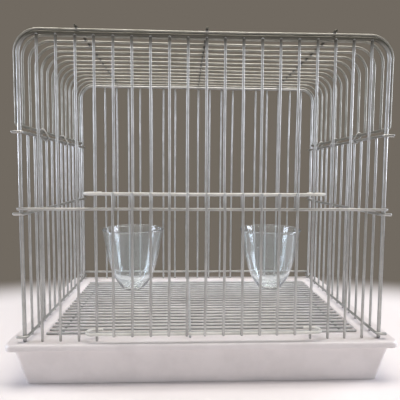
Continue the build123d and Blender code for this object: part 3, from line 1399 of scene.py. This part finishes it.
@dataclass(frozen=True)
class TrayRounds:
    """Length over which the tray's skin turns at each corner of its profile.

    Attributes:
        floor: Foot of the basin's wall, inside.
        ledge: Edge of the basin.
        rebate_foot: Foot of the rebate that holds the grille.
        rebate_edge: Upper edge of the rebate.
        rim: Outer edge of the flange.
        lip: Lower edge of the lip.
        under_lip: Where the lip meets the skirt.
        foot: Both edges that the skirt stands on.
        under: Both corners under the flange.
        below: Foot of the basin's wall, outside.
    """

    floor: float = 4.0 * MM
    ledge: float = 0.9 * MM
    rebate_foot: float = 0.5 * MM
    rebate_edge: float = 0.7 * MM
    rim: float = 3.3 * MM
    lip: float = 0.9 * MM
    under_lip: float = 0.7 * MM
    foot: float = 0.8 * MM
    under: float = 1.2 * MM
    below: float = 3.0 * MM


@dataclass
class Tray:
    """Moulded tray: one skin from the basin floor over the flange and down the outer skirt.

    Attributes:
        finish: Finish of the plastic.
        rounds: Softness of its edges.
        wall: Thickness of the basin and the skirt.
        lip_drop: Height of the lip round the flange.
        flange_thick: Thickness of the flange.
        rim_corner: Corner radius of the flange.
        skirt: Half width, half depth and corner radius of the skirt under the flange.
        side_draft: Lean of the skirt's ends, in degrees.
        front_draft: Lean of its front and back, in degrees.
        rebate: Half width and half depth of the rebate that holds the grille.
        rebate_corner: Corner radius of the rebate.
        rebate_depth: Depth of the rebate.
        ledge: Width of the ledge that the grille lies on.
        basin_corner: Corner radius of the basin's edge.
        basin_taper: Lean of the basin's wall, in degrees.
        floor_top: Height of the basin's floor.
        floor_margin: How far in from its foot the skin goes before the flat floor closes it.
        corner_points: Steps round each corner.
    """

    finish: TrayFinish
    rounds: TrayRounds = TrayRounds()
    wall: float = 2.0 * MM
    lip_drop: float = 5.4 * MM
    flange_thick: float = 3.8 * MM
    rim_corner: float = 6.5 * MM
    skirt: tuple[float, float, float] = (158.2 * MM, 102.8 * MM, 4.5 * MM)
    side_draft: float = 14.5
    front_draft: float = 6.5
    rebate: tuple[float, float] = (139.0 * MM, 86.5 * MM)
    rebate_corner: float = 8.0 * MM
    rebate_depth: float = 1.75 * MM
    ledge: float = 5.0 * MM
    basin_corner: float = 12.0 * MM
    basin_taper: float = 7.0
    floor_top: float = 4.0 * MM
    floor_margin: float = 8.0 * MM
    corner_points: int = 12

    def profile(self) -> list[Ring]:
        """Lay out the corners of the skin.

        Returns:
            Rings from the basin floor over the flange and the skirt round to the underside.
        """
        _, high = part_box("tray")
        soft = self.rounds
        top = high.z
        under = top - self.flange_thick
        ledge_z = top - self.rebate_depth
        lip_z = top - self.lip_drop
        below_z = self.floor_top - self.wall
        basin_lean = math.tan(math.radians(self.basin_taper))
        rim = Ring(high.x, high.y, self.rim_corner, top, soft.rim)
        skirt = Ring(*self.skirt, under)
        drafts = [under * math.tan(math.radians(draft)) for draft in (self.side_draft, self.front_draft)]
        foot = Ring(skirt.half_x - drafts[0], skirt.half_y - drafts[1], skirt.corner, 0.0, soft.foot)
        rebate = Ring(*self.rebate, self.rebate_corner, top, soft.rebate_edge)
        basin = [half - self.ledge for half in self.rebate]
        edge = Ring(*basin, self.basin_corner, ledge_z, soft.ledge)
        floor = edge.grown(-(ledge_z - self.floor_top) * basin_lean, self.floor_top, soft.floor)
        outer = edge.grown(self.wall, under, soft.under)
        below = outer.grown(-(under - below_z) * basin_lean, below_z, soft.below)
        return [
            floor.grown(-self.floor_margin, self.floor_top, 0.0),
            floor,
            edge,
            rebate.grown(0.0, ledge_z, soft.rebate_foot),
            rebate,
            rim,
            rim.grown(0.0, lip_z, soft.lip),
            skirt.towards(foot, lip_z, soft.under_lip),
            foot,
            foot.grown(-self.wall, 0.0, soft.foot),
            skirt.grown(-self.wall, under, soft.under),
            outer,
            below,
            below.grown(-self.floor_margin, below_z, 0.0),
        ]

    def outline(self, ring: Vector) -> list[Vector]:
        """Points round one rounded rectangle.

        Args:
            ring: Half width, half depth, corner radius and height.

        Returns:
            Its points.
        """
        half_x, half_y, corner, z = ring
        points = []
        for quarter, (sx, sy) in enumerate(((1, 1), (-1, 1), (-1, -1), (1, -1))):
            centre = Vector((sx * (half_x - corner), sy * (half_y - corner), z))
            for i in range(self.corner_points + 1):
                angle = math.pi / 2 * (quarter + i / self.corner_points)
                points.append(centre + Vector((math.cos(angle), math.sin(angle), 0.0)) * corner)
        return points

    def build(self, shop: Workshop) -> None:
        """Make the tray.

        Args:
            shop: Workshop that fits it.
        """
        corners = self.profile()
        rings = soften([ring.vector() for ring in corners], [ring.soft for ring in corners])
        mesh = weigh_normals(closed_mesh("tray_skin", [self.outline(ring) for ring in rings]))
        mesh.materials.append(self.finish.build())
        shop.fit("tray_skin", mesh, Body.TRAY, ["tray"])


@dataclass
class Cup:
    """Clear cup standing on the grille.

    Attributes:
        side: Left or right cup.
        material: Its plastic.
        wall: Thickness of the wall.
        floor: Thickness of the floor.
        lip: Height of the lip.
        lip_out: How far the lip stands out.
        foot: Radius of the foot.
        middle: Radius inside which floor and foot are flat.
        bowl: Radius, height and rounding of the points that the wall passes.
        lip_rounds: Roundings of the lip, from its inner edge to its underside.
        floor_round: Rounding inside the floor's edge.
        foot_round: Rounding of the foot's edge.
        round_steps: Points on each rounding.
        segments: Points round the cup.
    """

    side: Side
    material: bpy.types.Material
    wall: float = 1.5 * MM
    floor: float = 2.0 * MM
    lip: float = 3.0 * MM
    lip_out: float = 1.0 * MM
    foot: float = 14.0 * MM
    middle: float = 4.0 * MM
    bowl: tuple[tuple[float, float, float], ...] = (
        (24.0 * MM, 15.5 * MM, 8.0 * MM),
        (30.2 * MM, 36.0 * MM, 9.0 * MM),
    )
    lip_rounds: tuple[float, float, float, float] = (0.9 * MM, 1.5 * MM, 0.5 * MM, 0.6 * MM)
    floor_round: float = 3.0 * MM
    foot_round: float = 1.6 * MM
    round_steps: int = 7
    segments: int = 112

    def profile(self, radius: float, height: float) -> list[Vector]:
        """Profile from the middle of the floor over the lip to the middle of the foot.

        Args:
            radius: Radius of the rim.
            height: Height of the cup.

        Returns:
            Points of radius and height above the foot.
        """
        under_lip = radius - self.lip_out
        lip = (
            (under_lip - self.wall, height),
            (radius, height),
            (radius, height - self.lip + self.lip_out),
            (under_lip, height - self.lip),
        )
        corners = [
            (self.middle, self.floor, 0.0),
            (self.foot - self.wall, self.floor, self.floor_round),
            *((r - self.wall, z, soft) for r, z, soft in self.bowl),
            *((r, z, soft) for (r, z), soft in zip(lip, self.lip_rounds)),
            *reversed(self.bowl),
            (self.foot, 0.0, self.foot_round),
            (self.middle, 0.0, 0.0),
        ]
        spots = [Vector((r, z)) for r, z, _ in corners]
        return soften(spots, [soft for _, _, soft in corners], self.round_steps)

    def build(self, shop: Workshop) -> None:
        """Make the cup.

        Args:
            shop: Workshop that fits it.
        """
        node = f"{self.side.word}_cup"
        low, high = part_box(node)
        centre = (low + high) / 2
        rings = []
        for radius, height in self.profile((high.x - low.x) / 2, high.z - low.z):
            ring = []
            for i in range(self.segments):
                angle = math.tau * i / self.segments
                x = centre.x + radius * math.cos(angle)
                y = centre.y + radius * math.sin(angle)
                ring.append(Vector((x, y, low.z + height)))
            rings.append(ring)
        mesh = closed_mesh(f"{node}_wall", rings)
        mesh.materials.append(self.material)
        piece = shop.fit(f"{node}_wall", mesh, Body(node), [node])
        # Clear plastic lets the lamps through to the wires and the tray under it.
        piece.visible_shadow = False


@dataclass
class Softbox:
    """Large soft lamp.

    Attributes:
        name: Name of the lamp.
        place: Where it hangs.
        aim: Point that it faces.
        size: Width and height.
        power: Power in watts.
        colour: Its sRGB colour.
        mirrored: Whether shiny surfaces show it.
    """

    name: str
    place: tuple[float, float, float]
    aim: tuple[float, float, float]
    size: tuple[float, float]
    power: float
    colour: str = "#FFFFFF"
    mirrored: bool = True

    def build(self) -> None:
        """Hang the lamp."""
        lamp = bpy.data.lights.new(self.name, "AREA")
        lamp.shape = "RECTANGLE"
        lamp.size, lamp.size_y = self.size
        lamp.energy = self.power
        lamp.color = linear(self.colour)[:3]
        holder = bpy.data.objects.new(self.name, lamp)
        bpy.context.scene.collection.objects.link(holder)
        holder.visible_glossy = self.mirrored
        holder.location = self.place
        holder.rotation_mode = "QUATERNION"
        holder.rotation_quaternion = (Vector(self.aim) - Vector(self.place)).to_track_quat("-Z", "Y")


@dataclass
class Studio:
    """Pale floor, plain backdrop, soft lamps and the camera.

    Attributes:
        backdrop: Plain colour behind the object.
        floor: Colour of the floor under it.
        floor_roughness: Roughness of the floor.
        floor_reach: Radius of the floor's disc.
        floor_inner: Where the pale floor starts to run out, behind the object.
        floor_outer: Where it has run out.
        floor_ahead: How much slower it runs out in front.
        floor_aside: How much slower it runs out to the sides.
        ambient: Strength of the even light.
        camera_place: Where the camera stands.
        camera_near: Nearest distance that it shows.
        focal_share: Focal length as a share of the frame's width.
        pitch: Tilt below the horizon, in degrees.
        yaw: Turn to the right, in degrees.
        roll: Roll, in degrees.
        lamps: Soft lamps.
    """

    backdrop: str = "#716A61"
    floor: str = "#E5E0DF"
    floor_roughness: float = 0.55
    floor_reach: float = 30.0
    floor_inner: float = 0.14
    floor_outer: float = 0.26
    floor_ahead: float = 0.3
    floor_aside: float = 0.43
    ambient: float = 0.03
    camera_place: tuple[float, float, float] = (-18 * MM, -422 * MM, 176.5 * MM)
    camera_near: float = 20 * MM
    focal_share: float = 394 / 400
    pitch: float = 3.89
    yaw: float = 2.33
    roll: float = 0.41
    lamps: tuple[Softbox, ...] = (
        Softbox(
            "overhead_softbox", place=(0.05, -0.06, 1.1), aim=(0.05, -0.02, 0.0), size=(1.2, 0.5),
            power=14.8, colour="#FFF9F3",
        ),
        Softbox(
            "right_window", place=(1.0, 0.0, 0.36), aim=(0.0, 0.0, 0.15), size=(0.45, 0.4),
            power=8.2, colour="#EAF0FF",
        ),
        Softbox(
            "left_window", place=(-1.0, -0.05, 0.36), aim=(0.0, 0.0, 0.15), size=(0.45, 0.4),
            power=7.0, colour="#E6EEFF",
        ),
        Softbox(
            "tall_front_panel", place=(0.0, -2.0, 0.7), aim=(0.0, 0.0, 0.2), size=(3.0, 1.2),
            power=9.0, colour="#F4F4F4",
        ),
        Softbox(
            "low_front_fill", place=(0.1, -2.0, 0.14), aim=(0.0, 0.0, 0.1), size=(1.2, 0.25),
            power=3.6, colour="#E8EEFF", mirrored=False,
        ),
    )

    def build(self) -> None:
        """Set up the whole studio."""
        bpy.context.scene.view_settings.view_transform = "Standard"
        self._world()
        self._floor()
        self._camera()
        for lamp in self.lamps:
            lamp.build()

    def _seen(self, tree: bpy.types.NodeTree) -> bpy.types.NodeSocket:
        """Add nodes that tell looking rays from lighting rays.

        Args:
            tree: Shader tree that gets the nodes.

        Returns:
            Socket that is one for camera, glossy and transmission rays.
        """
        path = add_node(tree, "ShaderNodeLightPath")
        first = add_node(
            tree, "ShaderNodeMath",
            {0: path.outputs["Is Camera Ray"], 1: path.outputs["Is Glossy Ray"]}, operation="MAXIMUM",
        )
        both = add_node(
            tree, "ShaderNodeMath",
            {0: first.outputs["Value"], 1: path.outputs["Is Transmission Ray"]}, operation="MAXIMUM",
        )
        return both.outputs["Value"]

    def _world(self) -> None:
        """Even light, with the plain backdrop where it is looked at."""
        world = bpy.data.worlds.new("studio_world")
        world.use_nodes = True
        bpy.context.scene.world = world
        tree = world.node_tree
        even = tree.nodes["Background"]
        even.inputs["Color"].default_value = linear("#FFFFFF")
        even.inputs["Strength"].default_value = self.ambient
        plain = add_node(tree, "ShaderNodeBackground", {"Color": linear(self.backdrop), "Strength": 1.0})
        mix = add_node(
            tree, "ShaderNodeMixShader",
            {"Fac": self._seen(tree), 1: even.outputs["Background"], 2: plain.outputs["Background"]},
        )
        tree.links.new(mix.outputs["Shader"], tree.nodes["World Output"].inputs["Surface"])

    def _floor(self) -> None:
        """Pale floor that runs out into the backdrop."""
        form = bmesh.new()
        bmesh.ops.create_circle(form, cap_ends=True, radius=self.floor_reach, segments=96)
        mesh = bpy.data.meshes.new("studio_floor")
        form.to_mesh(mesh)
        form.free()
        material = bpy.data.materials.new("pale_floor")
        material.use_nodes = True
        tree = material.node_tree
        shader = tree.nodes["Principled BSDF"]
        shader.inputs["Base Color"].default_value = linear(self.floor)
        shader.inputs["Roughness"].default_value = self.floor_roughness
        place = add_node(tree, "ShaderNodeTexCoord").outputs["Object"]
        parts = add_node(tree, "ShaderNodeSeparateXYZ", {"Vector": place})
        ahead = add_node(
            tree, "ShaderNodeMath", {0: parts.outputs["Y"], 1: self.floor_ahead}, operation="MULTIPLY"
        )
        depth = add_node(
            tree, "ShaderNodeMath",
            {0: parts.outputs["Y"], 1: ahead.outputs["Value"]}, operation="MAXIMUM",
        )
        aside = add_node(
            tree, "ShaderNodeMath", {0: parts.outputs["X"], 1: self.floor_aside}, operation="MULTIPLY"
        )
        spread = add_node(
            tree, "ShaderNodeCombineXYZ", {"X": aside.outputs["Value"], "Y": depth.outputs["Value"]}
        )
        away = add_node(tree, "ShaderNodeVectorMath", {0: spread.outputs["Vector"]}, operation="LENGTH")
        share = add_node(
            tree, "ShaderNodeMapRange",
            {"Value": away.outputs["Value"], "From Min": self.floor_inner, "From Max": self.floor_outer},
            interpolation_type="SMOOTHSTEP",
        )
        plain = add_node(tree, "ShaderNodeEmission", {"Color": linear(self.backdrop), "Strength": 1.0})
        mix = add_node(
            tree, "ShaderNodeMixShader",
            {"Fac": share.outputs["Result"], 1: shader.outputs["BSDF"], 2: plain.outputs["Emission"]},
        )
        tree.links.new(mix.outputs["Shader"], tree.nodes["Material Output"].inputs["Surface"])
        mesh.materials.append(material)
        floor = bpy.data.objects.new("studio_floor", mesh)
        bpy.context.scene.collection.objects.link(floor)

    def _camera(self) -> None:
        """Camera at the photograph's viewing angle."""
        data = bpy.data.cameras.new("camera")
        data.lens = self.focal_share * data.sensor_width
        data.clip_start = self.camera_near
        camera = bpy.data.objects.new("camera", data)
        bpy.context.scene.collection.objects.link(camera)
        pitch, yaw, roll = (math.radians(v) for v in (self.pitch, self.yaw, self.roll))
        ahead = Vector(
            (math.sin(yaw) * math.cos(pitch), math.cos(yaw) * math.cos(pitch), -math.sin(pitch))
        )
        right = ahead.cross(Vector((0.0, 0.0, 1.0))).normalized()
        up = right.cross(ahead)
        across = right * math.cos(roll) + up * math.sin(roll)
        above = up * math.cos(roll) - right * math.sin(roll)
        turn = Matrix((across, above, -ahead)).transposed().to_4x4()
        camera.matrix_world = Matrix.Translation(Vector(self.camera_place)) @ turn
        bpy.context.scene.camera = camera


def main() -> None:
    """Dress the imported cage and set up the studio."""
    logging.basicConfig(level=logging.INFO, format="%(name)s: %(message)s")
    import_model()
    gauge = Gauge()
    _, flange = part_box("tray")
    shop = Workshop(zinc=PLAIN_ZINC.build(), weld_zinc=WELD_ZINC.build(), foot=flange.z)
    Tray(TrayFinish()).build(shop)
    FloorGrille(gauge).build(shop.plated(SCRAPED_ZINC))
    clear = CupFinish().build()
    for side in Side:
        Cup(side, clear).build(shop)
    front_rows = (
        ("front_uprights_left", 3), ("front_uprights_right", 3), ("front_uprights_upper", 11),
        ("left_door_guide", 1), ("right_door_guide", 1),
    )
    # The front panel's top bar gets painted shade.
    FlatPanel("front_frame", ("front_header_bar",), front_rows, gauge).build(shop.plated(TOP_SHADED_ZINC))
    back_rails = ("back_mid_rail", "back_bottom_rail")
    FlatPanel("back_frame", back_rails, (("back_uprights", 19),), gauge).build(shop)
    for side in Side:
        SidePanel(side, gauge).build(shop)
    # The roof's hoops get dust and painted shade.
    Roof(gauge).build(shop.plated(DUSTY_SHADED_ZINC))
    Door(gauge).build(shop)
    Studio().build()


if __name__ == "__main__":
    main()
